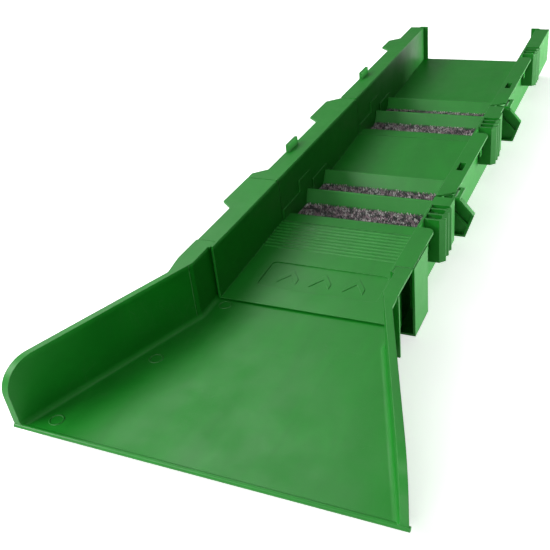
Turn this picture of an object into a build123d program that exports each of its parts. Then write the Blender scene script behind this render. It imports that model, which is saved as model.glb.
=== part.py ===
from build123d import *
import os

# Modular stream sluice: a flared scoop, a ribbed head section and two riffle sections in one line.
# Frame: X across the trough, Y down the flow, Z up, origin under the middle of the whole assembly.
# "Stations" are distances in millimetres from the scoop's lip, measured down the flow.

# ---- driving dimensions (mm) ----
overall_length = 1304.0
rim_height = 100.0
trough_half = 120.0
skin = 3.0
running_gap = 0.4
flange_thickness = 3.0
right_flange_edge = 144.0
left_flange_edge = -149.0
flange_corner = 10.0
weld = 0.5
cut = 1.0

under_flange = rim_height - flange_thickness - running_gap
flange_seam = 9.0
seam_gap = 1.6

# Stations down the flow
scoop_bend = 256.0
scoop_end = 312.0
scoop_tongue_end = 330.0
head_start = 300.0
section_starts = (509.0, 859.0)
joint_overlap = 18.0

# Heights of the floors
scoop_floor = 18.0
head_floor_start = scoop_floor + running_gap + skin
floor_start = 20.0
floor_end = 29.0

# Scoop
mouth_half = 222.0
scoop_half = 126.0
bead = 6.0
mouth_corner = 38.0
mouth_lean = 2.0
lip_radius = 3.0
tongue_half = 118.0
fillet_radius = 7.0
skid_offsets = (-100.0, 0.0, 100.0)
skid_rise = (24.0, 64.0)
scoop_fin_start = 249.0
scoop_fin_bottom = 14.0
ejector_mark_spots = ((-188.0, 24.0), (-137.0, 158.0), (-108.0, 289.0))
ejector_mark_radius = 9.0
ejector_mark_width = 1.6
ejector_mark_height = 0.6

# Head section panel and fine ribs
panel_start = 340.0
panel_end = 401.0
panel_half = 86.0
panel_corner = 8.0
panel_depth = 1.8
chevron_height = 0.8
chevron_offsets = (-48.0, 0.0, 48.0)
fine_rib_first = 438.0
fine_rib_count = 9
fine_rib_pitch = 8.4
fine_rib_height = 1.3
fine_rib_half_width = 2.2

# Side boxes of the head section
side_box_length = 58.0
side_box_edge = 146.0
side_box_top = 94.0

# Riffle pocket group, measured from its section's start
strip_length = 21.0
well_end = 198.0
tray_wall = 2.6
tray_floor = 15.5
bar_foot = 85.0
bar_crest = (96.3, 99.3)
bar_top = 38.0
rear_lip_foot = 159.0
rear_lip_crest = (174.7, 177.7)
rear_lip_top = 36.0
cheek_thickness = 2.0
cheek_tops = ((5.0, 74.0, 45.0), (70.0, 114.0, 64.0), (124.0, 186.0, 43.0))
mat_thickness = 6.2
mat_clearance = 0.3
peg_span = (95.0, 132.0)
peg_height = 12.0
slot_span = (82.0, 109.0)
slot_edges = (127.0, 136.0)
socket_wall = 2.0
socket_depth = 13.0
bracket_span = (18.8, 28.0)
bracket_rib_thickness = 2.4
bracket_rib_foot = (118.0, 84.0)
bracket_rib_run = 60.0
bracket_rib_spacing = 17.0
outlet_frame_edges = (111.0, 128.0)
outlet_frame_rise = 1.5
outlet_fin_reach = 5.0
outlet_fin_setback = 14.0

# Closing tabs, latches and posts: stations for the head section and the two riffle sections
tab_spans = ((407.0, 537.0), (736.0, 848.0), (1137.0, 1219.0))
tab_reach = 19.0
tab_root = 2.0
tab_slopes = (16.0, 18.0)
latch_spans = ((437.0, 476.0), (757.0, 796.0), (1139.0, 1178.0))
latch_gap = 24.0
latch_travel = 14.0
latch_bottom = 35.0
latch_post_gap = 2.4
rail_neck = (127.0, 58.0, 68.0)
rail_head = (129.5, 54.0, 72.0)
post_length = 24.0
fin_thickness = 3.0
fin_edge = 147.0
latch_back = 133.0
latch_fin_edge = 150.0
latch_top = 99.4
latch_fin_turn = 7.0
latch_fin_lip = 2.0


def place(station):
    """Y of a station."""
    return station - overall_length / 2


def block(x_limits, stations, z_limits, mode=Mode.ADD):
    """A box between two limits on each axis, in the part being built."""
    y_limits = [place(station) for station in stations]
    sizes = [abs(limits[1] - limits[0]) for limits in (x_limits, y_limits, z_limits)]
    middle = [(limits[0] + limits[1]) / 2 for limits in (x_limits, y_limits, z_limits)]
    with Locations(tuple(middle)):
        Box(*sizes, mode=mode)


def pair_of_blocks(x_limits, stations, z_limits, mode=Mode.ADD):
    """The same box on the right and mirrored on the left."""
    block(x_limits, stations, z_limits, mode)
    block((-x_limits[1], -x_limits[0]), stations, z_limits, mode)


def finish(part, name):
    """Label one piece and write its file."""
    part.label = name
    export_step(part, f"parts/{name}.step")


def rise(station, start, end):
    """Height of a sloping floor at a station, between (station, height) pairs."""
    share = (station - start[0]) / (end[0] - start[0])
    return start[1] + share * (end[1] - start[1])


def tab_outline(span):
    """Plan of a closing tab on the left flange: steep near end, long far slope."""
    near, far = span
    return [
        (left_flange_edge + tab_root, place(near - tab_root)),
        (left_flange_edge - tab_reach, place(near + tab_slopes[0])),
        (left_flange_edge - tab_reach, place(far - tab_slopes[1])),
        (left_flange_edge + tab_root, place(far + tab_root)),
    ]


def latch_mount(latch_span, post_end):
    """T rail for a latch on the right wall, and the post that closes its far end."""
    start, end = latch_span
    rail = (start - latch_travel, end + latch_post_gap + weld)
    block((trough_half + skin - weld, rail_neck[0]), rail, rail_neck[1:])
    block((rail_neck[0], rail_head[0]), rail, rail_head[1:])
    post = (end + latch_post_gap, post_end)
    block((trough_half, fin_edge), post, (rim_height - flange_thickness, rim_height))
    block((trough_half + skin - weld, fin_edge), (post[0], post[0] + skin), (latch_bottom, rim_height))
    block((fin_edge - skin, fin_edge), post, (latch_bottom, rim_height))


def trough_walls(stations, bottom=0.0, top=rim_height):
    """Both side walls between two stations."""
    pair_of_blocks((trough_half, trough_half + skin), stations, (bottom, top))


def bell(joint):
    """Widened tail of the walls that holds the next section's head."""
    inner = trough_half + skin + running_gap
    pair_of_blocks((inner, inner + skin), (joint - 4, joint + joint_overlap), (0, under_flange))
    pair_of_blocks((trough_half, inner + skin), (joint - 4, joint - running_gap), (0, under_flange))


def rim_outline(side):
    """Plan of the scoop's rim on one side, narrow beside the mouth and wide beside the trough."""
    outer_mouth = mouth_half + skin
    outer_half = scoop_half + skin
    edge = right_flange_edge if side > 0 else -left_flange_edge + 2
    return [
        (side * (mouth_half + 0.2), place(0)),
        (side * (outer_mouth + bead), place(0)),
        (side * (outer_half + bead + 10.5), place(scoop_bend - 28)),
        (side * edge, place(scoop_bend + 6)),
        (side * edge, place(scoop_end)),
        (side * (trough_half + skin + running_gap), place(scoop_end)),
        (side * (trough_half + skin + running_gap), place(head_start - 2)),
        (side * scoop_half, place(head_start - 2)),
        (side * scoop_half, place(scoop_bend)),
    ]


def mouth_profile(inset):
    """Side view of the mouth's front edge and rounded top corner, moved back and down by an inset."""
    radius = mouth_corner - inset
    with BuildLine() as profile:
        Line(
            (place(mouth_lean + inset), scoop_floor - skin),
            (place(inset), rim_height - mouth_corner),
        )
        RadiusArc(
            (place(inset), rim_height - mouth_corner),
            (place(mouth_corner), rim_height - inset),
            radius,
        )
    return profile.line


def build_scoop():
    """Flared mouth with rolled rim, skids below and a stiffening fin each side."""
    outer_mouth = mouth_half + skin
    outer_half = scoop_half + skin
    with BuildPart() as scoop:
        with BuildSketch(Plane.XY.offset(scoop_floor - skin)):
            with BuildLine():
                Polyline(
                    (-outer_mouth, place(0)),
                    (outer_mouth, place(0)),
                    (outer_half, place(scoop_bend)),
                    (outer_half, place(scoop_end)),
                    (-outer_half, place(scoop_end)),
                    (-outer_half, place(scoop_bend)),
                    close=True,
                )
            make_face()
        extrude(amount=rim_height - scoop_floor + skin)
        with BuildSketch(Plane.XY.offset(scoop_floor)):
            with BuildLine():
                Polyline(
                    (-mouth_half - 4, place(-10)),
                    (mouth_half + 4, place(-10)),
                    (scoop_half, place(scoop_bend)),
                    (scoop_half, place(scoop_end + 5)),
                    (-scoop_half, place(scoop_end + 5)),
                    (-scoop_half, place(scoop_bend)),
                    close=True,
                )
            make_face()
        extrude(amount=rim_height, mode=Mode.SUBTRACT)
        inner_corners = (
            scoop.edges()
            .filter_by(lambda edge: abs(edge.center().Z - scoop_floor) < 0.01)
            .filter_by(lambda edge: abs(edge.center().X) > scoop_half - 1)
        )
        fillet(inner_corners, radius=fillet_radius)
        # The rim runs round the mouth's top corners and down the front edges to the lip
        for side in (-1, 1):
            with BuildSketch(Plane.XY.offset(rim_height - flange_thickness)):
                with BuildLine():
                    Polyline(*rim_outline(side), close=True)
                make_face()
            extrude(amount=flange_thickness)
        with BuildSketch(Plane.YZ):
            with BuildLine():
                add(mouth_profile(0))
                Line((place(mouth_corner), rim_height), (place(mouth_corner), rim_height + 5))
                Line((place(mouth_corner), rim_height + 5), (place(-5), rim_height + 5))
                Line((place(-5), rim_height + 5), (place(-5), scoop_floor - skin))
                Line((place(-5), scoop_floor - skin), (place(mouth_lean), scoop_floor - skin))
            make_face()
        extrude(amount=outer_mouth + 30, both=True, mode=Mode.SUBTRACT)
        with BuildPart(mode=Mode.PRIVATE) as front_rim:
            with BuildSketch(Plane.YZ):
                with BuildLine():
                    add(mouth_profile(0))
                    Line(
                        (place(mouth_corner), rim_height),
                        (place(mouth_corner), rim_height - flange_thickness),
                    )
                    add(mouth_profile(flange_thickness))
                    Line(
                        (place(mouth_lean + flange_thickness), scoop_floor - skin),
                        (place(mouth_lean), scoop_floor - skin),
                    )
                make_face()
            extrude(amount=outer_mouth + 30, both=True)
            with BuildSketch() as both_rims:
                for side in (-1, 1):
                    with BuildLine():
                        Polyline(*rim_outline(side), close=True)
                    make_face()
            extrude(amount=rim_height, mode=Mode.INTERSECT)
        add(front_rim.part)
        # Rounded lip, tongue under the head section, skids and fins
        with Locations((0, place(lip_radius), scoop_floor - 1)):
            Cylinder(radius=lip_radius, height=2 * (outer_mouth + bead), rotation=(0, 90, 0))
        tongue = (scoop_end - skin, scoop_tongue_end)
        block((-tongue_half, tongue_half), tongue, (scoop_floor - skin, scoop_floor))
        for offset_x in skid_offsets:
            with BuildSketch(Plane.YZ.offset(offset_x - skin / 2)):
                with BuildLine():
                    Polyline(
                        (place(skid_rise[0]), scoop_floor - skin + cut),
                        (place(skid_rise[1]), 0),
                        (place(scoop_tongue_end - bead), 0),
                        (place(scoop_tongue_end - bead), scoop_floor - skin + cut),
                        close=True,
                    )
                make_face()
            extrude(amount=skin)
        fin_stations = (scoop_fin_start, scoop_fin_start + skin)
        pair_of_blocks((outer_half - 1, fin_edge - 1), fin_stations, (scoop_fin_bottom, rim_height - 1))
        for mark_x, mark_station in ejector_mark_spots:
            with Locations((mark_x, place(mark_station), scoop_floor)):
                Cylinder(radius=ejector_mark_radius, height=2 * ejector_mark_height)
                Cylinder(
                    radius=ejector_mark_radius - ejector_mark_width,
                    height=2 * ejector_mark_height,
                    align=(Align.CENTER, Align.CENTER, Align.MIN),
                    mode=Mode.SUBTRACT,
                )
    return scoop.part


def build_head():
    """Section with a recessed panel, fine cross ribs and the side boxes."""
    joint = section_starts[0]
    slope = ((head_start, head_floor_start), (joint, floor_end))
    rebate = floor_end - skin - running_gap
    latch_span = latch_spans[0]
    flange_z = (rim_height - flange_thickness, rim_height)
    flange_start = scoop_end + seam_gap
    flange_end = latch_span[1] + latch_post_gap + post_length
    with BuildPart() as head:
        with BuildSketch(Plane.YZ):
            with BuildLine():
                points = [(place(head_start), head_floor_start)]
                for index in range(fine_rib_count):
                    crest = fine_rib_first + index * fine_rib_pitch
                    for step, lift in ((-1, 0), (-0.45, 1), (0.45, 1), (1, 0)):
                        station = crest + step * fine_rib_half_width
                        points.append((place(station), rise(station, *slope) + lift * fine_rib_height))
                points += [
                    (place(joint), floor_end),
                    (place(joint), rebate),
                    (place(joint + joint_overlap), rebate),
                    (place(joint + joint_overlap), rebate - skin),
                    (place(joint - 14), rebate - skin),
                    (place(head_start + 5), head_floor_start - skin),
                    (place(head_start + 4), head_floor_start - skin / 2),
                    (place(head_start), head_floor_start - skin / 2),
                ]
                Polyline(*points, close=True)
            make_face()
        extrude(amount=trough_half + 0.5, both=True)
        trough_walls((head_start, scoop_end + running_gap + 1), head_floor_start - 1.2)
        trough_walls((scoop_end + running_gap, flange_end))
        trough_walls((flange_end - 1, joint - running_gap), top=under_flange)
        bell(joint)
        # Flanges, closing tab and latch mount
        block((trough_half, right_flange_edge), (flange_start, latch_span[0] - latch_gap), flange_z)
        block((left_flange_edge, -trough_half), (flange_start, flange_end), flange_z)
        with BuildSketch(Plane.XY.offset(rim_height - flange_thickness)):
            with BuildLine():
                Polyline(*tab_outline(tab_spans[0]), close=True)
            make_face()
        extrude(amount=flange_thickness)
        block((-200, -trough_half - 10), (flange_end, joint + 60), flange_z, Mode.SUBTRACT)
        latch_mount(latch_span, flange_end)
        # Side boxes, open on the near side
        box_start = scoop_end + running_gap
        box_end = box_start + side_box_length
        for side in (-1, 1):
            limits = (side * (trough_half + skin - weld), side * side_box_edge)
            block(limits, (box_start, box_end), (1, rim_height - 1))
            hollow = (side * (trough_half + skin), side * (side_box_edge - skin))
            hollow_stations = (box_start - cut, box_end - skin)
            block(hollow, hollow_stations, (1 + skin, side_box_top), Mode.SUBTRACT)
        corner = right_corner(head, latch_span[0] - latch_gap)
        fillet(corner, radius=flange_corner)
        # Recessed panel with plain flow chevrons
        tilt = Vector(0, joint - head_start, floor_end - head_floor_start)
        middle = (panel_start + panel_end) / 2
        panel_plane = Plane(
            origin=(0, place(middle), rise(middle, *slope)),
            x_dir=(1, 0, 0),
            z_dir=Vector(1, 0, 0).cross(tilt),
        )
        with BuildSketch(panel_plane):
            RectangleRounded(2 * panel_half, panel_end - panel_start, panel_corner)
        extrude(amount=-panel_depth, mode=Mode.SUBTRACT)
        with BuildSketch(panel_plane.offset(-panel_depth - 0.2)):
            for offset_x in chevron_offsets:
                with Locations((offset_x, 0)):
                    Polygon((-14, -16), (0, 4), (14, -16), (14, -4), (0, 16), (-14, -4), align=None)
        extrude(amount=chevron_height + 0.2)
    return head.part


def right_corner(builder, station):
    """The vertical edge at the outer corner of the right flange's near piece."""
    return builder.edges().filter_by(Axis.Z).filter_by(
        lambda edge: abs(edge.center().X - right_flange_edge) < 0.01
        and abs(edge.center().Y - place(station)) < 0.01
    )


def bracket_outline(inset):
    """Section of the outer bracket across the flow, shrunk by an inset."""
    return [
        (trough_half + skin - 0.5 + 1.4 * inset, 90 - 1.4 * inset),
        (149 - 0.2 * inset, 84 - inset),
        (168 - 1.2 * inset, 62 - 0.2 * inset),
        (156 - 0.9 * inset, 27 + inset),
        (trough_half + skin - 0.5 + 1.4 * inset, 27 + inset),
    ]


def build_riffle_section(index):
    """Trough section with a riffle well at its head and a rising floor behind it."""
    start = section_starts[index]
    last = index == len(section_starts) - 1
    joint = overall_length if last else section_starts[index + 1]
    latch_span = latch_spans[index + 1]
    floor_low = start + well_end + skin
    rebate = floor_end - skin - running_gap
    flange_z = (rim_height - flange_thickness, rim_height)
    cheek_x = (trough_half - cheek_thickness, trough_half + 0.5)
    head_edge = start - flange_seam + 3 * running_gap + 4
    flange_end = joint if last else joint - flange_seam
    with BuildPart() as section:
        with BuildSketch(Plane.YZ):
            with BuildLine():
                points = [
                    (place(start + seam_gap), floor_end),
                    (place(start + strip_length + skin), floor_end),
                    (place(start + strip_length + skin), skin),
                    (place(start + well_end), skin),
                    (place(start + well_end), floor_start),
                    (place(floor_low), floor_start),
                ]
                if last:
                    points += [
                        (place(joint - 6), floor_end + 1),
                        (place(joint), floor_end + 1),
                        (place(joint), floor_end - 5),
                    ]
                else:
                    points += [
                        (place(joint), floor_end),
                        (place(joint), rebate),
                        (place(joint + joint_overlap), rebate),
                        (place(joint + joint_overlap), rebate - skin),
                        (place(joint - 14), rebate - skin),
                    ]
                points += [
                    (place(floor_low), floor_start - skin),
                    (place(floor_low), 0),
                    (place(start + strip_length), 0),
                    (place(start + strip_length), floor_end - skin),
                    (place(start + seam_gap), floor_end - skin),
                ]
                Polyline(*points, close=True)
            make_face()
        extrude(amount=trough_half + 0.5, both=True)
        trough_walls((start + seam_gap, start + joint_overlap + 2), floor_end - skin)
        trough_walls((start + joint_overlap + 1, flange_end))
        # Flanges: the near edge on the right is cut on a slant
        block((left_flange_edge, -trough_half), (head_edge, flange_end), flange_z)
        with BuildSketch(Plane.XY.offset(rim_height - flange_thickness)):
            with BuildLine():
                Polyline(
                    (trough_half, place(head_edge)),
                    (right_flange_edge, place(head_edge + 16)),
                    (right_flange_edge, place(latch_span[0] - latch_gap)),
                    (trough_half, place(latch_span[0] - latch_gap)),
                    close=True,
                )
            make_face()
        extrude(amount=flange_thickness)
        block((trough_half, right_flange_edge), (latch_span[1] + 4, flange_end), flange_z)
        latch_mount(latch_span, joint if last else latch_span[1] + latch_post_gap + post_length)
        fillet(right_corner(section, latch_span[0] - latch_gap), radius=flange_corner)
        with BuildSketch(Plane.XY.offset(rim_height - flange_thickness)):
            with BuildLine():
                Polyline(*tab_outline(tab_spans[index + 1]), close=True)
            make_face()
        extrude(amount=flange_thickness)
        if index == 0:
            with BuildSketch(Plane.XY.offset(rim_height - flange_thickness)):
                with BuildLine():
                    Polyline(*tab_outline(tab_spans[0]), close=True)
                make_face()
            extrude(amount=flange_thickness)
            block((-200, -trough_half - 10), (start - 130, head_edge), flange_z, Mode.SUBTRACT)
        # Cheeks beside the pockets, with stepped tops
        for cheek_start, cheek_end, cheek_top in cheek_tops:
            stations = (start + cheek_start, start + cheek_end)
            pair_of_blocks(cheek_x, stations, (floor_end - 2, cheek_top))
        well_stations = (start + strip_length + 1, start + well_end)
        pair_of_blocks(cheek_x, well_stations, (skin - 1, floor_end - 1))
        # Peg and matching socket that meet when two sections close face to face
        peg_x = left_flange_edge + 3
        block(
            (peg_x - 2.5, peg_x + 2.5),
            (start + peg_span[0], start + peg_span[1]),
            (rim_height - 1, rim_height + peg_height),
        )
        slot = (start + slot_span[0], start + slot_span[1])
        socket_floor = rim_height - socket_depth
        block(
            (trough_half + skin - 0.5, slot_edges[1] + socket_wall),
            (slot[0] - socket_wall, slot[1] + socket_wall),
            (socket_floor - socket_wall, rim_height - 1),
        )
        block(slot_edges, slot, (socket_floor, rim_height + 1), Mode.SUBTRACT)
        # Ribbed outer bracket, open towards the mouth, and the lug with its slit above it
        bracket_near = start + bracket_span[0]
        bracket_far = start + bracket_span[1]
        for side in (1, -1):
            with BuildSketch(Plane.XZ.offset(-place(bracket_far))):
                with BuildLine():
                    Polyline(*[(side * x, z) for x, z in bracket_outline(0)], close=True)
                make_face()
            extrude(amount=bracket_far - bracket_near)
            with BuildSketch(Plane.XZ.offset(-place(bracket_far - skin))):
                with BuildLine():
                    Polyline(*[(side * x, z) for x, z in bracket_outline(skin)], close=True)
                make_face()
                for shift in (0, bracket_rib_spacing):
                    foot_x, foot_z = bracket_rib_foot[0] + shift, bracket_rib_foot[1] - shift
                    tip_x, tip_z = foot_x + bracket_rib_run, foot_z - bracket_rib_run
                    thick = bracket_rib_thickness
                    with BuildLine():
                        Polyline(
                            (side * foot_x, foot_z),
                            (side * (foot_x + thick), foot_z + thick),
                            (side * (tip_x + thick), tip_z + thick),
                            (side * tip_x, tip_z),
                            close=True,
                        )
                    make_face(mode=Mode.SUBTRACT)
            extrude(amount=bracket_far - bracket_near, mode=Mode.SUBTRACT)
        block((right_flange_edge - 1, 153), (head_edge + 1, start + 30), (rim_height - 5, rim_height - 1))
        block((145, 148), (head_edge + 3, start + 28), (rim_height - 6, rim_height), Mode.SUBTRACT)
        if last:
            frame_heights = (floor_end, rim_height + outlet_frame_rise)
            pair_of_blocks(outlet_frame_edges, (joint - skin, joint), frame_heights)
            fin_start = joint - outlet_fin_setback
            fin_edges = (trough_half, trough_half + outlet_fin_reach)
            pair_of_blocks(fin_edges, (fin_start, fin_start + skin), (0, rim_height - 1))
        else:
            trough_walls((flange_end - 1, joint - running_gap), top=under_flange)
            bell(joint)
    return section.part


def build_tray(index):
    """Lift-out riffle tray: a raised floor on legs, a near wall, a slanted crossbar and a rear lip."""
    start = section_starts[index]
    near = start + strip_length + skin + running_gap
    far = start + well_end - running_gap
    base = skin + running_gap
    half = trough_half - cheek_thickness - running_gap
    under_floor = tray_floor - tray_wall
    crossbar = (start + bar_crest[0], start + bar_crest[1])
    rear_lip = (start + rear_lip_crest[0], start + rear_lip_crest[1])
    with BuildPart() as tray:
        block((-half, half), (near, far), (under_floor, tray_floor))
        block((-half, half), (near, near + tray_wall), (base, floor_end))
        block((-half, half), crossbar, (base, tray_floor))
        block((-half, half), (far - tray_wall, far), (base, floor_start))
        with BuildSketch(Plane.YZ):
            with BuildLine():
                Polyline(
                    (place(start + bar_foot), under_floor),
                    (place(crossbar[0]), bar_top),
                    (place(crossbar[1]), bar_top),
                    (place(crossbar[1]), under_floor),
                    close=True,
                )
            make_face()
            with BuildLine():
                Polyline(
                    (place(start + rear_lip_foot), under_floor),
                    (place(rear_lip[0]), rear_lip_top),
                    (place(rear_lip[1]), rear_lip_top),
                    (place(rear_lip[1] + 2), floor_start),
                    (place(far), floor_start),
                    (place(far), under_floor),
                    close=True,
                )
            make_face()
        extrude(amount=half, both=True)
        crests = tray.edges().filter_by(Axis.X).filter_by(
            lambda edge: abs(edge.center().Z - bar_top) < 0.01
            or abs(edge.center().Z - rear_lip_top) < 0.01
        )
        fillet(crests, radius=0.8)
    return tray.part


def build_mat(index, pocket):
    """Matting pad that fills one pocket of a tray."""
    start = section_starts[index]
    low = tray_floor + mat_clearance
    near_pocket = (strip_length + skin + running_gap + tray_wall, bar_foot)
    far_pocket = (bar_crest[1], rear_lip_foot)
    near, far = (near_pocket, far_pocket)[pocket]
    half = trough_half - cheek_thickness - 2 * running_gap
    with BuildPart() as mat:
        block(
            (-half + 2 * mat_clearance, half - 2 * mat_clearance),
            (start + near + 2 * mat_clearance, start + far - 2 * mat_clearance),
            (low, low + mat_thickness),
        )
        fillet(mat.edges().filter_by(Axis.Z), radius=3)
    return mat.part


def build_latch(latch_span):
    """Sliding latch: a back plate with a T slot and three tall finger fins with turned ends."""
    start, end = latch_span
    back = trough_half + skin + running_gap
    with BuildPart() as latch:
        block((back, latch_back), latch_span, (latch_bottom + skin, rim_height - 2 * skin))
        fin_length = latch_fin_turn + latch_fin_lip
        fin_pitch = (end - start - fin_length) / 2
        turn = latch_fin_edge - latch_fin_turn
        with BuildSketch(Plane.XY.offset(latch_bottom)):
            for fin in range(3):
                near = place(start + fin * fin_pitch)
                with BuildLine():
                    Polyline(
                        (back, near),
                        (turn, near),
                        (latch_fin_edge, near + latch_fin_turn),
                        (latch_fin_edge, near + fin_length),
                        (latch_fin_edge - latch_fin_lip, near + fin_length),
                        (turn - 1, near + fin_thickness),
                        (back, near + fin_thickness),
                        close=True,
                    )
                make_face()
        extrude(amount=latch_top - latch_bottom)
        through = (start - cut, end + cut)
        for (edge, low, high), near in ((rail_neck, back - cut), (rail_head, rail_neck[0] - running_gap)):
            slot_heights = (low - running_gap, high + running_gap)
            block((near, edge + running_gap), through, slot_heights, Mode.SUBTRACT)
    return latch.part


os.makedirs("parts", exist_ok=True)
finish(build_scoop(), "flared_scoop")
finish(build_head(), "head_section")
mat_number = 0
for index in range(len(section_starts)):
    finish(build_riffle_section(index), f"riffle_section_{index + 1}")
    finish(build_tray(index), f"riffle_tray_{index + 1}")
    for pocket in range(2):
        mat_number += 1
        finish(build_mat(index, pocket), f"pocket_mat_{mat_number}")
for number, span in enumerate(latch_spans, start=1):
    finish(build_latch(span), f"side_latch_{number}")
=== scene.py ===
"""Stream sluice: moulded plastic, looped matting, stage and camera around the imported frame."""

import math

import bpy
import numpy as np
from bpy.props import (
    FloatProperty,
    FloatVectorProperty,
    IntProperty,
    PointerProperty,
)
from bpy.types import Operator, Panel, PropertyGroup
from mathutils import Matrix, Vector


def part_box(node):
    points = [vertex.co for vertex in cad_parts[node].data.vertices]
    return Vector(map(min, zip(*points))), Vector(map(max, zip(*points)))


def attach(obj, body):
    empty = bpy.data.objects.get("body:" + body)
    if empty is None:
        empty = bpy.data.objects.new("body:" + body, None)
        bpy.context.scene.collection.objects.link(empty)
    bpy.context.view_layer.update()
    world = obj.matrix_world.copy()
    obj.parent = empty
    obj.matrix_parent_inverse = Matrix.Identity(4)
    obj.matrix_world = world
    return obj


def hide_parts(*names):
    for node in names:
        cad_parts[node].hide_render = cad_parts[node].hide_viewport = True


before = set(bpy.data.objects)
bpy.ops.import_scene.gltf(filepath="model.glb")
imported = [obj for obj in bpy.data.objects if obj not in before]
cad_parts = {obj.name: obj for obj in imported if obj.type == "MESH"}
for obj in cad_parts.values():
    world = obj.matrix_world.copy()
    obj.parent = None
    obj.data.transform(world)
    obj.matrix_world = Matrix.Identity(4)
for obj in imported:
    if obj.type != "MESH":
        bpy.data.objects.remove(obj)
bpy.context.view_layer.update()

bl_info = {
    "name": "Stream Sluice",
    "version": (1, 0, 0),
    "blender": (4, 5, 0),
    "location": "3D View > Sidebar > Sluice",
    "description": "Moulded plastic and looped matting for a clip-together stream sluice",
    "category": "Object",
}

SCOOP_NODES = ("flared_scoop",)
HEAD_NODES = ("head_section",)
SECTION_NODES = ("riffle_section_1", "riffle_section_2")
TRAY_NODES = ("riffle_tray_1", "riffle_tray_2")
LATCH_NODES = ("side_latch_1", "side_latch_2", "side_latch_3")
MAT_NODES = ("pocket_mat_1", "pocket_mat_2", "pocket_mat_3", "pocket_mat_4")

# Relief of the surfaces, in metres
GRAIN_HEIGHT = 0.000012
RIPPLE_HEIGHT = 0.00007
SCOOP_RIPPLE_HEIGHT = 0.00010
SCRATCH_DEPTH = 0.00002
FILAMENT_GRAIN_HEIGHT = 0.00003

# Gloss of the plastic and the filament
PLASTIC_IOR = 1.46
PLASTIC_SPECULAR = 0.42
FILAMENT_IOR = 1.5
FILAMENT_ROUGHNESS = 0.42
# Scale of the flecks of painted highlight on the filament.
FLECK_SCALE = 210.0

# Loops of the matting: shares of the loop's height, row pitch or loop pitch
STEPS_PER_LOOP = 10
TUBE_SIDES = 5
LOOP_HEIGHTS = (0.62, 1.0)
LOOP_WIDTHS = (0.55, 1.0)
LOOP_LEAN = 1.6
LEAN_SHARE = 0.35
SWAY_SHARE = 0.30
DRIFT_SHARE = 0.42
BACKING_CELL = 0.003
BACKING_LIFTS = (0.45, 1.0)


# ---------------------------------------------------------------- settings


class PlasticSettings(PropertyGroup):
    """Finish of the moulded parts."""

    colour: FloatVectorProperty(
        name="Colour",
        description="Base colour of the trough parts",
        subtype="COLOR",
        size=3,
        default=(0.004, 0.192, 0.010),
        min=0,
        max=1,
    )
    latch_colour: FloatVectorProperty(
        name="Latch colour",
        description="Base colour of the side latches",
        subtype="COLOR",
        size=3,
        default=(0.004, 0.168, 0.009),
        min=0,
        max=1,
    )
    roughness: FloatProperty(
        name="Roughness",
        description="Mean roughness of the satin skin",
        default=0.45,
        min=0.05,
        max=1,
    )
    edge_radius: FloatProperty(
        name="Edge radius",
        description="Radius that the mould leaves on its edges",
        default=0.0009,
        min=0,
        max=0.003,
        unit="LENGTH",
        precision=5,
    )
    # Sets the scuffs, which are real wear, and how much the edges are lightened, which is a painted
    # highlight that is partly rubbed wear.
    wear_and_edge_highlight: FloatProperty(
        name="Wear",
        description="Strength of scuffs and rubbed edges",
        default=0.55,
        min=0,
        max=1,
        subtype="FACTOR",
    )


class MattingSettings(PropertyGroup):
    """Looped filament matting in the riffle pockets."""

    filament: FloatProperty(
        name="Filament",
        description="Diameter of one filament",
        default=0.0011,
        min=0.0005,
        max=0.003,
        unit="LENGTH",
        precision=5,
    )
    loop_pitch: FloatProperty(
        name="Loop pitch",
        description="Mean distance between loops along a row",
        default=0.0042,
        min=0.002,
        max=0.02,
        unit="LENGTH",
        precision=5,
    )
    row_pitch: FloatProperty(
        name="Row pitch",
        description="Distance between rows of loops",
        default=0.0040,
        min=0.002,
        max=0.02,
        unit="LENGTH",
        precision=5,
    )
    backing: FloatProperty(
        name="Backing",
        description="Thickness of the backing under the loops",
        default=0.0009,
        min=0.0003,
        max=0.003,
        unit="LENGTH",
        precision=5,
    )
    dark: FloatVectorProperty(
        name="Dark filament",
        description="Colour of most filaments",
        subtype="COLOR",
        size=3,
        default=(0.026, 0.030, 0.030),
        min=0,
        max=1,
    )
    # The mauve and pale flecks are painted highlights: bright specks laid into the filament colour
    # where light would glint on the loops.
    mauve_glint: FloatVectorProperty(
        name="Mauve filament",
        description="Colour of the mauve flecks",
        subtype="COLOR",
        size=3,
        default=(0.310, 0.215, 0.255),
        min=0,
        max=1,
    )
    pale_glint: FloatVectorProperty(
        name="Pale filament",
        description="Colour of the pale flecks",
        subtype="COLOR",
        size=3,
        default=(0.600, 0.590, 0.570),
        min=0,
        max=1,
    )
    seed: IntProperty(
        name="Seed",
        description="Seed of the loops' irregularity",
        default=11,
        min=0,
    )


class StageSettings(PropertyGroup):
    """Floor, lights and camera."""

    floor_colour: FloatVectorProperty(
        name="Floor colour",
        description="Colour of the plain floor",
        subtype="COLOR",
        size=3,
        default=(0.90, 0.90, 0.90),
        min=0,
        max=1,
    )
    floor_size: FloatProperty(
        name="Floor size",
        description="Side of the square floor",
        default=24,
        min=2,
        unit="LENGTH",
    )
    camera_location: FloatVectorProperty(
        name="Camera location",
        description="Where the camera stands",
        subtype="XYZ",
        unit="LENGTH",
        size=3,
        default=(0.39035, -1.15385, 0.61919),
    )
    camera_rotation: FloatVectorProperty(
        name="Camera rotation",
        description="How the camera is turned",
        subtype="EULER",
        unit="ROTATION",
        size=3,
        default=(1.02334, 0.10186, 0.42472),
    )
    lens: FloatProperty(
        name="Lens",
        description="Focal length on a 36 mm sensor, in millimetres",
        default=54.29,
        min=10,
        max=300,
    )


# ---------------------------------------------------------- node tree help


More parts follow.
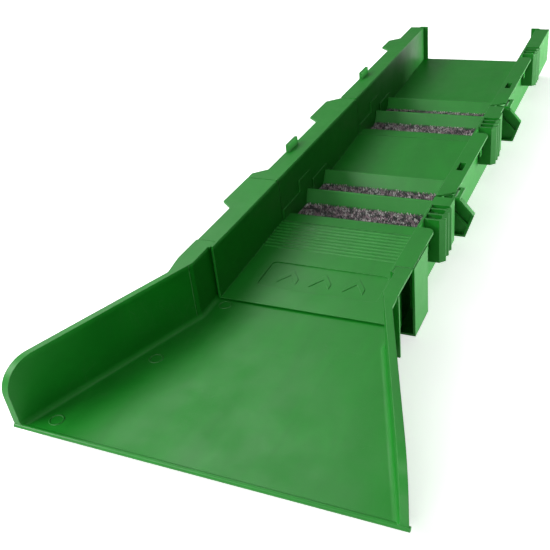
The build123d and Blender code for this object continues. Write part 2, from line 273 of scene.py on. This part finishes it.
def add_node(tree, kind, inputs=None, **settings):
    """A new shader node with its settings made, and its inputs set or linked."""
    made = tree.nodes.new("ShaderNode" + kind)
    for key, value in settings.items():
        setattr(made, key, value)
    for key, value in (inputs or {}).items():
        socket = made.inputs[key]
        if isinstance(value, bpy.types.NodeSocket):
            tree.links.new(value, socket)
        else:
            socket.default_value = value
    return made


def calculate(tree, operation, first, second=0.0, third=0.0, clamp=False):
    """The result of one Math node."""
    made = add_node(
        tree, "Math", {0: first, 1: second, 2: third}, operation=operation, use_clamp=clamp
    )
    return made.outputs[0]


def spread(tree, value, low, high, to_low=0.0, to_high=1.0):
    """A value mapped from one range onto another, clamped."""
    made = add_node(
        tree,
        "MapRange",
        {"Value": value, "From Min": low, "From Max": high, "To Min": to_low, "To Max": to_high},
    )
    return made.outputs[0]


def mix_colours(tree, factor, first, second):
    """A mix of two colours."""
    made = add_node(
        tree, "Mix", {0: factor, 6: first, 7: second}, data_type="RGBA", clamp_factor=True
    )
    return made.outputs[2]


def rgba(colour, gain=1.0):
    """A colour with alpha, brightened or darkened by gain."""
    return tuple(min(part * gain, 1.0) for part in colour) + (1.0,)


def effect_group(name, inputs, outputs):
    """An empty node group with named sockets, and its input and output nodes."""
    group = bpy.data.node_groups.new(name, "ShaderNodeTree")
    for label, kind, default in inputs:
        socket = group.interface.new_socket(name=label, in_out="INPUT", socket_type=kind)
        if default is not None:
            socket.default_value = default
    for label, kind in outputs:
        group.interface.new_socket(name=label, in_out="OUTPUT", socket_type=kind)
    return group, group.nodes.new("NodeGroupInput"), group.nodes.new("NodeGroupOutput")


FLOAT, VECTOR = "NodeSocketFloat", "NodeSocketVector"


def moulded_skin_group():
    """Fine spark grain, slow ripples and uneven gloss of a moulded skin."""
    group, start, end = effect_group(
        "Moulded Skin",
        (("Vector", VECTOR, None), ("Grain Scale", FLOAT, 900.0), ("Ripple Scale", FLOAT, 38.0)),
        (("Grain", FLOAT), ("Ripple", FLOAT), ("Gloss", FLOAT)),
    )
    grain = add_node(
        group,
        "TexNoise",
        {
            "Vector": start.outputs["Vector"],
            "Scale": start.outputs["Grain Scale"],
            "Detail": 2.0,
            "Roughness": 0.6,
        },
    )
    ripple = add_node(
        group,
        "TexNoise",
        {
            "Vector": start.outputs["Vector"],
            "Scale": start.outputs["Ripple Scale"],
            "Detail": 2.5,
            "Roughness": 0.5,
            "Distortion": 0.3,
        },
    )
    gloss = add_node(
        group,
        "TexNoise",
        {"Vector": start.outputs["Vector"], "Scale": 17.0, "Detail": 5.0, "Roughness": 0.62},
    )
    group.links.new(grain.outputs[0], end.inputs["Grain"])
    group.links.new(ripple.outputs[0], end.inputs["Ripple"])
    group.links.new(spread(group, gloss.outputs[0], 0.3, 0.7), end.inputs["Gloss"])
    return group


def edge_highlight_and_wear_group():
    """Rounded mould edges, and a broken mask along them that marks where the edges are lightened: a
    painted highlight, partly rubbed wear.
    """
    group, start, end = effect_group(
        "Edge Highlight And Wear",
        (("Vector", VECTOR, None), ("Radius", FLOAT, 0.0007)),
        (("Normal", VECTOR), ("Mask", FLOAT)),
    )
    rounded = add_node(group, "Bevel", {"Radius": start.outputs["Radius"]}, samples=4)
    plain = add_node(group, "NewGeometry")
    turned = add_node(
        group,
        "VectorMath",
        {0: rounded.outputs[0], 1: plain.outputs["Normal"]},
        operation="DOT_PRODUCT",
    )
    edge = spread(group, turned.outputs["Value"], 0.995, 0.86)
    breaks = add_node(
        group, "TexNoise", {"Vector": start.outputs["Vector"], "Scale": 160.0, "Detail": 4.0}
    )
    broken = spread(group, breaks.outputs[0], 0.34, 0.62, 0.25, 1.0)
    group.links.new(rounded.outputs[0], end.inputs["Normal"])
    group.links.new(calculate(group, "MULTIPLY", edge, broken), end.inputs["Mask"])
    return group


def flow_tone_group():
    """Slow colour drift along the flow of the plastic into the mould."""
    group, start, end = effect_group(
        "Flow Tone", (("Vector", VECTOR, None),), (("Tone", FLOAT), ("Cloud", FLOAT))
    )
    stretched = add_node(
        group, "Mapping", {"Vector": start.outputs["Vector"], "Scale": (1.0, 0.28, 0.6)}
    )
    drift = add_node(
        group,
        "TexNoise",
        {"Vector": stretched.outputs[0], "Scale": 22.0, "Detail": 4.0, "Distortion": 1.2},
    )
    cloud = add_node(
        group,
        "TexNoise",
        {"Vector": start.outputs["Vector"], "Scale": 120.0, "Detail": 3.0, "Roughness": 0.55},
    )
    group.links.new(spread(group, drift.outputs[0], 0.28, 0.72), end.inputs["Tone"])
    group.links.new(spread(group, cloud.outputs[0], 0.3, 0.7), end.inputs["Cloud"])
    return group


def scuff_group():
    """Short fine scratches that cross in patches."""
    group, start, end = effect_group(
        "Scuffs", (("Vector", VECTOR, None),), (("Mask", FLOAT), ("Patch", FLOAT))
    )
    lines = []
    for turn, stretch in ((0.35, (14.0, 1.0, 1.0)), (-0.9, (1.0, 11.0, 1.0))):
        laid = add_node(
            group,
            "Mapping",
            {
                "Vector": start.outputs["Vector"],
                "Rotation": (0.2, 0.1, turn),
                "Scale": stretch,
            },
        )
        cells = add_node(
            group,
            "TexVoronoi",
            {"Vector": laid.outputs[0], "Scale": 19.0},
            feature="DISTANCE_TO_EDGE",
        )
        lines.append(spread(group, cells.outputs["Distance"], 0.012, 0.002))
    patches = add_node(
        group, "TexNoise", {"Vector": start.outputs["Vector"], "Scale": 12.0, "Detail": 3.0}
    )
    patch = spread(group, patches.outputs[0], 0.5, 0.68)
    crossed = calculate(group, "MAXIMUM", lines[0], lines[1])
    group.links.new(calculate(group, "MULTIPLY", crossed, patch), end.inputs["Mask"])
    group.links.new(patch, end.inputs["Patch"])
    return group


GROUP_MAKERS = {
    "Moulded Skin": moulded_skin_group,
    "Edge Highlight And Wear": edge_highlight_and_wear_group,
    "Flow Tone": flow_tone_group,
    "Scuffs": scuff_group,
}


def effect(tree, name, **inputs):
    """One of the shared effects placed in a material with its values, made if it isn't there yet."""
    group = bpy.data.node_groups.get(name) or GROUP_MAKERS[name]()
    values = {label.replace("_", " ").title(): value for label, value in inputs.items()}
    return add_node(tree, "Group", values, node_tree=group)


def new_material(name):
    """An empty node material with its output, and a Principled shader linked to it."""
    material = bpy.data.materials.new(name)
    material.use_nodes = True
    tree = material.node_tree
    tree.nodes.clear()
    shader = tree.nodes.new("ShaderNodeBsdfPrincipled")
    output = tree.nodes.new("ShaderNodeOutputMaterial")
    tree.links.new(shader.outputs[0], output.inputs[0])
    return material, tree, shader


def moulded_plastic(name, colour, settings, offset, ripple_height):
    """Satin moulded plastic; offset moves the pattern, so no two parts are alike."""
    material, tree, shader = new_material(name)
    place = add_node(tree, "TexCoord")
    moved = add_node(
        tree, "VectorMath", {0: place.outputs["Object"], 1: offset}, operation="ADD"
    ).outputs[0]
    skin = effect(tree, "Moulded Skin", vector=moved)
    edge = effect(tree, "Edge Highlight And Wear", vector=moved, radius=settings.edge_radius)
    flow = effect(tree, "Flow Tone", vector=moved)
    scuffs = effect(tree, "Scuffs", vector=moved)

    tone = mix_colours(tree, flow.outputs["Tone"], rgba(colour, 0.90), rgba(colour, 1.10))
    cloud = calculate(tree, "MULTIPLY", flow.outputs["Cloud"], 0.22)
    tone = mix_colours(tree, cloud, tone, rgba(colour, 0.80))
    scratched = tuple(0.75 * part + 0.06 for part in colour)
    # Lighter colour along the edges: a painted highlight where the edges catch the light, partly
    # rubbed wear.
    worn_and_highlit_edge = tuple(0.85 * part + 0.16 for part in colour)
    worn = calculate(tree, "MULTIPLY", scuffs.outputs["Mask"], settings.wear_and_edge_highlight)
    tone = mix_colours(tree, worn, tone, rgba(scratched))
    edged = calculate(tree, "MULTIPLY", edge.outputs["Mask"], settings.wear_and_edge_highlight)
    tone = mix_colours(tree, edged, tone, rgba(worn_and_highlit_edge))
    tree.links.new(tone, shader.inputs["Base Color"])

    rough = calculate(
        tree, "MULTIPLY_ADD", skin.outputs["Gloss"], 0.14, settings.roughness - 0.07
    )
    rough = calculate(tree, "MULTIPLY_ADD", scuffs.outputs["Patch"], 0.05, rough)
    rough = calculate(tree, "MULTIPLY_ADD", scuffs.outputs["Mask"], 0.18, rough, clamp=True)
    tree.links.new(rough, shader.inputs["Roughness"])

    height = calculate(tree, "MULTIPLY", skin.outputs["Grain"], GRAIN_HEIGHT)
    height = calculate(tree, "MULTIPLY_ADD", skin.outputs["Ripple"], ripple_height, height)
    height = calculate(tree, "MULTIPLY_ADD", scuffs.outputs["Mask"], -SCRATCH_DEPTH, height)
    bump = add_node(
        tree,
        "Bump",
        {"Strength": 1.0, "Distance": 1.0, "Height": height, "Normal": edge.outputs["Normal"]},
    )
    tree.links.new(bump.outputs[0], shader.inputs["Normal"])
    shader.inputs["IOR"].default_value = PLASTIC_IOR
    shader.inputs["Specular IOR Level"].default_value = PLASTIC_SPECULAR
    return material


def filament_material(name, settings, offset):
    """Vinyl filament in mixed greys, flecked with painted highlights in two tints."""
    material, tree, shader = new_material(name)
    place = add_node(tree, "TexCoord")
    moved = add_node(
        tree, "VectorMath", {0: place.outputs["Object"], 1: offset}, operation="ADD"
    ).outputs[0]
    skin = effect(tree, "Moulded Skin", vector=moved, grain_scale=1500.0, ripple_scale=240.0)
    flow = effect(tree, "Flow Tone", vector=moved)
    flecks = add_node(
        tree, "TexVoronoi", {"Vector": moved, "Scale": FLECK_SCALE, "Randomness": 1.0}
    )
    pick = add_node(tree, "SeparateColor", {"Color": flecks.outputs["Color"]})
    tone = mix_colours(
        tree, flow.outputs["Cloud"], rgba(settings.dark, 0.55), rgba(settings.dark, 1.7)
    )
    # Painted highlights: mauve and pale flecks scattered over the dark filament.
    mauve_glint = spread(tree, pick.outputs[0], 0.60, 0.72)
    tone = mix_colours(tree, mauve_glint, tone, rgba(settings.mauve_glint))
    pale_glint = spread(tree, pick.outputs[1], 0.80, 0.90)
    tone = mix_colours(tree, pale_glint, tone, rgba(settings.pale_glint))
    tree.links.new(tone, shader.inputs["Base Color"])
    rough = calculate(tree, "MULTIPLY_ADD", skin.outputs["Gloss"], 0.25, FILAMENT_ROUGHNESS)
    tree.links.new(rough, shader.inputs["Roughness"])
    height = calculate(tree, "MULTIPLY", skin.outputs["Grain"], FILAMENT_GRAIN_HEIGHT)
    bump = add_node(tree, "Bump", {"Strength": 1.0, "Distance": 1.0, "Height": height})
    tree.links.new(bump.outputs[0], shader.inputs["Normal"])
    shader.inputs["IOR"].default_value = FILAMENT_IOR
    return material


# ------------------------------------------------------------- mesh making


def mesh_piece(name, points, faces, smooth):
    """A new mesh object in the scene, from points and faces in metres."""
    mesh = bpy.data.meshes.new(name)
    mesh.from_pydata(points.tolist(), [], faces.tolist())
    mesh.validate()
    mesh.shade_smooth() if smooth else mesh.shade_flat()
    piece = bpy.data.objects.new(name, mesh)
    bpy.context.scene.collection.objects.link(piece)
    return piece


def filament_tube(line, radius, sides):
    """Points and faces of a filament that winds about the X axis; its ends are left open."""
    along = np.gradient(line, axis=0)
    along /= np.linalg.norm(along, axis=1)[:, None]
    across = np.cross(along, (1.0, 0.0, 0.0))
    across /= np.maximum(np.linalg.norm(across, axis=1)[:, None], 1e-9)
    upright = np.cross(across, along)
    turn = np.arange(sides) * 2 * math.pi / sides
    ring = (
        across[:, None, :] * np.cos(turn)[None, :, None]
        + upright[:, None, :] * np.sin(turn)[None, :, None]
    )
    points = (line[:, None, :] + radius * ring).reshape(-1, 3)
    count = len(line)
    step = np.arange(count - 1)[:, None] * sides
    side = np.arange(sides)[None, :]
    after = (side + 1) % sides
    faces = np.stack(
        (step + side, step + after, step + sides + after, step + sides + side), axis=-1
    ).reshape(-1, 4)
    return points, faces


def loop_rows(low, high, settings, rng):
    """Points and faces of all the looped rows between two corners."""
    radius = settings.filament / 2
    base = low[2] + settings.backing
    tallest = (high[2] - base) / 2 - radius
    margin = tallest + radius
    rows = max(int((high[1] - low[1] - 2 * margin) / settings.row_pitch) + 1, 2)
    points, faces, count = [], [], 0
    for at in np.linspace(low[1] + margin, high[1] - margin, rows):
        turns = int((high[0] - low[0] - 2 * margin) / settings.loop_pitch)
        angle = np.linspace(0, 2 * math.pi * turns, turns * STEPS_PER_LOOP + 1)
        knots = np.linspace(0, 2 * math.pi * turns, turns + 1)
        height = np.interp(angle, knots, rng.uniform(*LOOP_HEIGHTS, turns + 1)) * tallest
        width = np.interp(angle, knots, rng.uniform(*LOOP_WIDTHS, turns + 1)) * tallest
        sway = np.interp(angle, knots, rng.uniform(-1.0, 1.0, turns + 1))
        lean = np.interp(angle, knots, rng.uniform(-LOOP_LEAN, LOOP_LEAN, turns + 1))
        drift = np.interp(angle, knots, rng.uniform(-DRIFT_SHARE, DRIFT_SHARE, turns + 1))
        phase = angle + rng.uniform(0, 2 * math.pi)
        x = np.linspace(low[0] + margin, high[0] - margin, len(angle))
        x = x + settings.loop_pitch * drift + LEAN_SHARE * lean * height * np.sin(phase)
        y = at + width * np.cos(phase) + sway * SWAY_SHARE * settings.row_pitch
        z = base + radius + height * (1 + np.sin(phase))
        line = np.stack((x, y, z), axis=1)
        line = np.clip(line, np.array(low) + radius, np.array(high) - radius)
        made, quads = filament_tube(line, radius, TUBE_SIDES)
        points.append(made)
        faces.append(quads + count)
        count += len(made)
    return np.concatenate(points), np.concatenate(faces)


def backing_sheet(low, high, thickness, rng):
    """Points and faces of the matted backing, a thin sheet with an uneven top."""
    nx = int((high[0] - low[0]) / BACKING_CELL)
    ny = int((high[1] - low[1]) / BACKING_CELL)
    gx, gy = np.meshgrid(
        np.linspace(low[0], high[0], nx + 1), np.linspace(low[1], high[1], ny + 1), indexing="ij"
    )
    lift = rng.uniform(*BACKING_LIFTS, gx.shape) * thickness
    top = np.stack((gx, gy, low[2] + lift), axis=-1).reshape(-1, 3)
    bottom = np.stack((gx, gy, np.full(gx.shape, low[2])), axis=-1).reshape(-1, 3)
    index = np.arange((nx + 1) * (ny + 1)).reshape(nx + 1, ny + 1)
    quad = np.stack(
        (index[:-1, :-1], index[1:, :-1], index[1:, 1:], index[:-1, 1:]), axis=-1
    ).reshape(-1, 4)
    rim = np.concatenate((index[:, 0], index[-1, 1:], index[-2::-1, -1], index[0, -2:0:-1]))
    after = np.roll(rim, -1)
    size = len(top)
    wall = np.stack((rim + size, after + size, after, rim), axis=-1)
    faces = np.concatenate((quad, quad[:, ::-1] + size, wall))
    return np.concatenate((top, bottom)), faces


# --------------------------------------------------------------- operators


def dress(nodes, title, settings, colour, offset, stride=0.0, ripple_height=RIPPLE_HEIGHT):
    """Gives each CAD node plastic of its own; stride moves the pattern on from node to node."""
    for number, name in enumerate(nodes):
        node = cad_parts.get(name)
        if node is None:
            raise RuntimeError(f"the frame has no part named {name}")
        label = title if len(nodes) == 1 else f"{title} {number + 1}"
        moved = (offset[0] + stride * number, *offset[1:])
        material = moulded_plastic(label, colour, settings, moved, ripple_height)
        node.data.materials.clear()
        node.data.materials.append(material)


class SLUICE_OT_scoop(Operator):
    """Finish the flared scoop"""

    bl_idname = "sluice.scoop"
    bl_label = "Finish Scoop"

    def execute(self, context):
        settings = context.scene.sluice_plastic
        dress(
            SCOOP_NODES,
            "Scoop Plastic",
            settings,
            settings.colour,
            (3.1, 0.4, 1.7),
            ripple_height=SCOOP_RIPPLE_HEIGHT,
        )
        return {"FINISHED"}


class SLUICE_OT_head(Operator):
    """Finish the head section"""

    bl_idname = "sluice.head"
    bl_label = "Finish Head Section"

    def execute(self, context):
        settings = context.scene.sluice_plastic
        dress(HEAD_NODES, "Head Plastic", settings, settings.colour, (7.3, 2.2, 0.9))
        return {"FINISHED"}


class SLUICE_OT_sections(Operator):
    """Finish the riffle sections"""

    bl_idname = "sluice.sections"
    bl_label = "Finish Riffle Sections"

    def execute(self, context):
        settings = context.scene.sluice_plastic
        dress(SECTION_NODES, "Section Plastic", settings, settings.colour, (11.0, 5.1, 2.6), 2.3)
        return {"FINISHED"}


class SLUICE_OT_trays(Operator):
    """Finish the riffle trays"""

    bl_idname = "sluice.trays"
    bl_label = "Finish Riffle Trays"

    def execute(self, context):
        settings = context.scene.sluice_plastic
        dress(TRAY_NODES, "Tray Plastic", settings, settings.colour, (17.0, 8.3, 4.4), 1.9)
        return {"FINISHED"}


class SLUICE_OT_latches(Operator):
    """Finish the side latches"""

    bl_idname = "sluice.latches"
    bl_label = "Finish Side Latches"

    def execute(self, context):
        settings = context.scene.sluice_plastic
        dress(LATCH_NODES, "Latch Plastic", settings, settings.latch_colour, (23.0, 1.9, 6.2), 1.3)
        return {"FINISHED"}


class SLUICE_OT_matting(Operator):
    """Lay looped matting in the riffle pockets"""

    bl_idname = "sluice.matting"
    bl_label = "Lay Matting"

    def execute(self, context):
        settings = context.scene.sluice_matting
        for number, node in enumerate(MAT_NODES, 1):
            rng = np.random.default_rng(settings.seed + number)
            low, high = (np.array(corner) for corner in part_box(node))
            loops, loop_faces = loop_rows(low, high, settings, rng)
            sheet, sheet_faces = backing_sheet(low, high, settings.backing, rng)
            points = np.concatenate((loops, sheet))
            faces = np.concatenate((loop_faces, sheet_faces + len(loops)))
            piece = mesh_piece(f"looped_mat_{number}", points, faces, smooth=True)
            piece.data.materials.append(
                filament_material(f"Filament {number}", settings, (1.7 * number, 0.3, 0.8))
            )
            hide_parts(node)
            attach(piece, f"mat_{number}")
        return {"FINISHED"}


# Name, location, aim, side along, side across and power in watts of each softbox
LIGHTS = (
    ("Left Front Softbox", (-1.6, -1.6, 1.5), (0.0, -0.2, 0.05), 1.2, 1.0, 58.0),
    ("Left Low Softbox", (-2.2, 0.3, 0.6), (0.0, 0.0, 0.05), 1.6, 0.8, 14.0),
    ("Left Back Softbox", (-1.3, 0.9, 2.0), (0.0, 0.0, 0.05), 1.6, 1.2, 25.0),
    ("Top Softbox", (0.0, 0.1, 2.6), (0.0, 0.0, 0.0), 2.0, 2.0, 12.0),
    ("Front Softbox", (0.2, -2.6, 1.2), (0.0, -0.2, 0.05), 1.2, 0.6, 22.0),
    ("Right Low Strip", (1.9, 0.9, 0.08), (0.0, 0.25, 0.05), 1.8, 0.12, 84.0),
)

# Glow of the sky and the floor, and how much more of it is seen or mirrored
SKY_STRENGTH = 0.01
SKY_MIRRORED = 0.34
TABLE_SEEN = 0.62
TABLE_MIRRORED = 0.5
SENSOR_WIDTH = 36


class SLUICE_OT_stage(Operator):
    """Lay the floor, hang the lights and set up the camera"""

    bl_idname = "sluice.stage"
    bl_label = "Set Up Stage"

    def execute(self, context):
        scene = context.scene
        settings = scene.sluice_stage
        half = settings.floor_size / 2
        corners = np.array(((-half, -half, 0), (half, -half, 0), (half, half, 0), (-half, half, 0)))
        floor = mesh_piece("studio_floor", corners, np.array(((0, 1, 2, 3),)), smooth=False)
        floor.data.materials.append(floor_material(settings.floor_colour))
        for name, location, aim, along, across, power in LIGHTS:
            hang_light(name, location, aim, (along, across), power)
        scene.world = studio_sky()
        scene.view_settings.view_transform = "Standard"

        camera = bpy.data.objects.new("Camera", bpy.data.cameras.new("Camera"))
        camera.data.lens = settings.lens
        camera.data.sensor_width = SENSOR_WIDTH
        camera.location = settings.camera_location
        camera.rotation_euler = settings.camera_rotation
        scene.collection.objects.link(camera)
        scene.camera = camera
        return {"FINISHED"}


def floor_material(colour):
    """Matt paper floor that glows like a light table where it is seen or mirrored."""
    material, tree, shader = new_material("Studio Paper")
    place = add_node(tree, "TexCoord")
    mottle = add_node(tree, "TexNoise", {"Vector": place.outputs["Object"], "Scale": 3.0})
    tone = mix_colours(tree, mottle.outputs[0], rgba(colour, 0.99), rgba(colour, 1.01))
    tree.links.new(tone, shader.inputs["Base Color"])
    shader.inputs["Roughness"].default_value = 0.9
    shader.inputs["Specular IOR Level"].default_value = 0.1
    shader.inputs["Emission Color"].default_value = (1, 1, 1, 1)
    ray = add_node(tree, "LightPath")
    mirrored = calculate(tree, "MULTIPLY", ray.outputs["Is Glossy Ray"], TABLE_MIRRORED)
    glow = calculate(
        tree, "MULTIPLY_ADD", ray.outputs["Is Camera Ray"], TABLE_SEEN, mirrored, clamp=True
    )
    tree.links.new(glow, shader.inputs["Emission Strength"])
    return material


def hang_light(name, location, aim, sides, power):
    """A rectangular softbox that faces its aim."""
    data = bpy.data.lights.new(name, "AREA")
    data.shape = "RECTANGLE"
    data.size, data.size_y = sides
    data.energy = power
    lamp = bpy.data.objects.new(name, data)
    lamp.location = location
    lamp.visible_camera = False
    toward = Vector(aim) - Vector(location)
    lamp.rotation_euler = toward.to_track_quat("-Z", "Y").to_euler()
    bpy.context.scene.collection.objects.link(lamp)
    return lamp


def studio_sky():
    """Even soft light from all round, paler where it is mirrored and white where it is seen."""
    world = bpy.data.worlds.new("Studio Sky")
    world.use_nodes = True
    tree = world.node_tree
    tree.nodes.clear()
    ray = add_node(tree, "LightPath")
    mirrored = calculate(
        tree, "MULTIPLY_ADD", ray.outputs["Is Glossy Ray"], SKY_MIRRORED, SKY_STRENGTH
    )
    glow = calculate(tree, "MAXIMUM", mirrored, ray.outputs["Is Camera Ray"])
    sky = add_node(tree, "Background", {"Color": (1, 1, 1, 1), "Strength": glow})
    output = add_node(tree, "OutputWorld")
    tree.links.new(sky.outputs[0], output.inputs[0])
    return world


# ------------------------------------------------------------------- panel


class SLUICE_PT_panel(Panel):
    """Lists the settings and the steps"""

    bl_label = "Stream Sluice"
    bl_idname = "SLUICE_PT_panel"
    bl_space_type = "VIEW_3D"
    bl_region_type = "UI"
    bl_category = "Sluice"

    def draw(self, context):
        layout = self.layout
        for group in ("sluice_plastic", "sluice_matting", "sluice_stage"):
            settings = getattr(context.scene, group)
            box = layout.box()
            for key in settings.__annotations__:
                box.prop(settings, key)
        for step in STEPS:
            layout.operator(step.bl_idname)


STEPS = (
    SLUICE_OT_scoop,
    SLUICE_OT_head,
    SLUICE_OT_sections,
    SLUICE_OT_trays,
    SLUICE_OT_latches,
    SLUICE_OT_matting,
    SLUICE_OT_stage,
)
SETTINGS = {
    "sluice_plastic": PlasticSettings,
    "sluice_matting": MattingSettings,
    "sluice_stage": StageSettings,
}


def register():
    for cls in (*SETTINGS.values(), *STEPS, SLUICE_PT_panel):
        bpy.utils.register_class(cls)
    for name, cls in SETTINGS.items():
        setattr(bpy.types.Scene, name, PointerProperty(type=cls))


def unregister():
    for name in SETTINGS:
        delattr(bpy.types.Scene, name)
    for cls in (SLUICE_PT_panel, *reversed(STEPS), *SETTINGS.values()):
        bpy.utils.unregister_class(cls)


def main():
    """Registers the add-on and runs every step."""
    register()
    for step in STEPS:
        family, name = step.bl_idname.split(".")
        getattr(getattr(bpy.ops, family), name)()


if __name__ == "__main__":
    main()
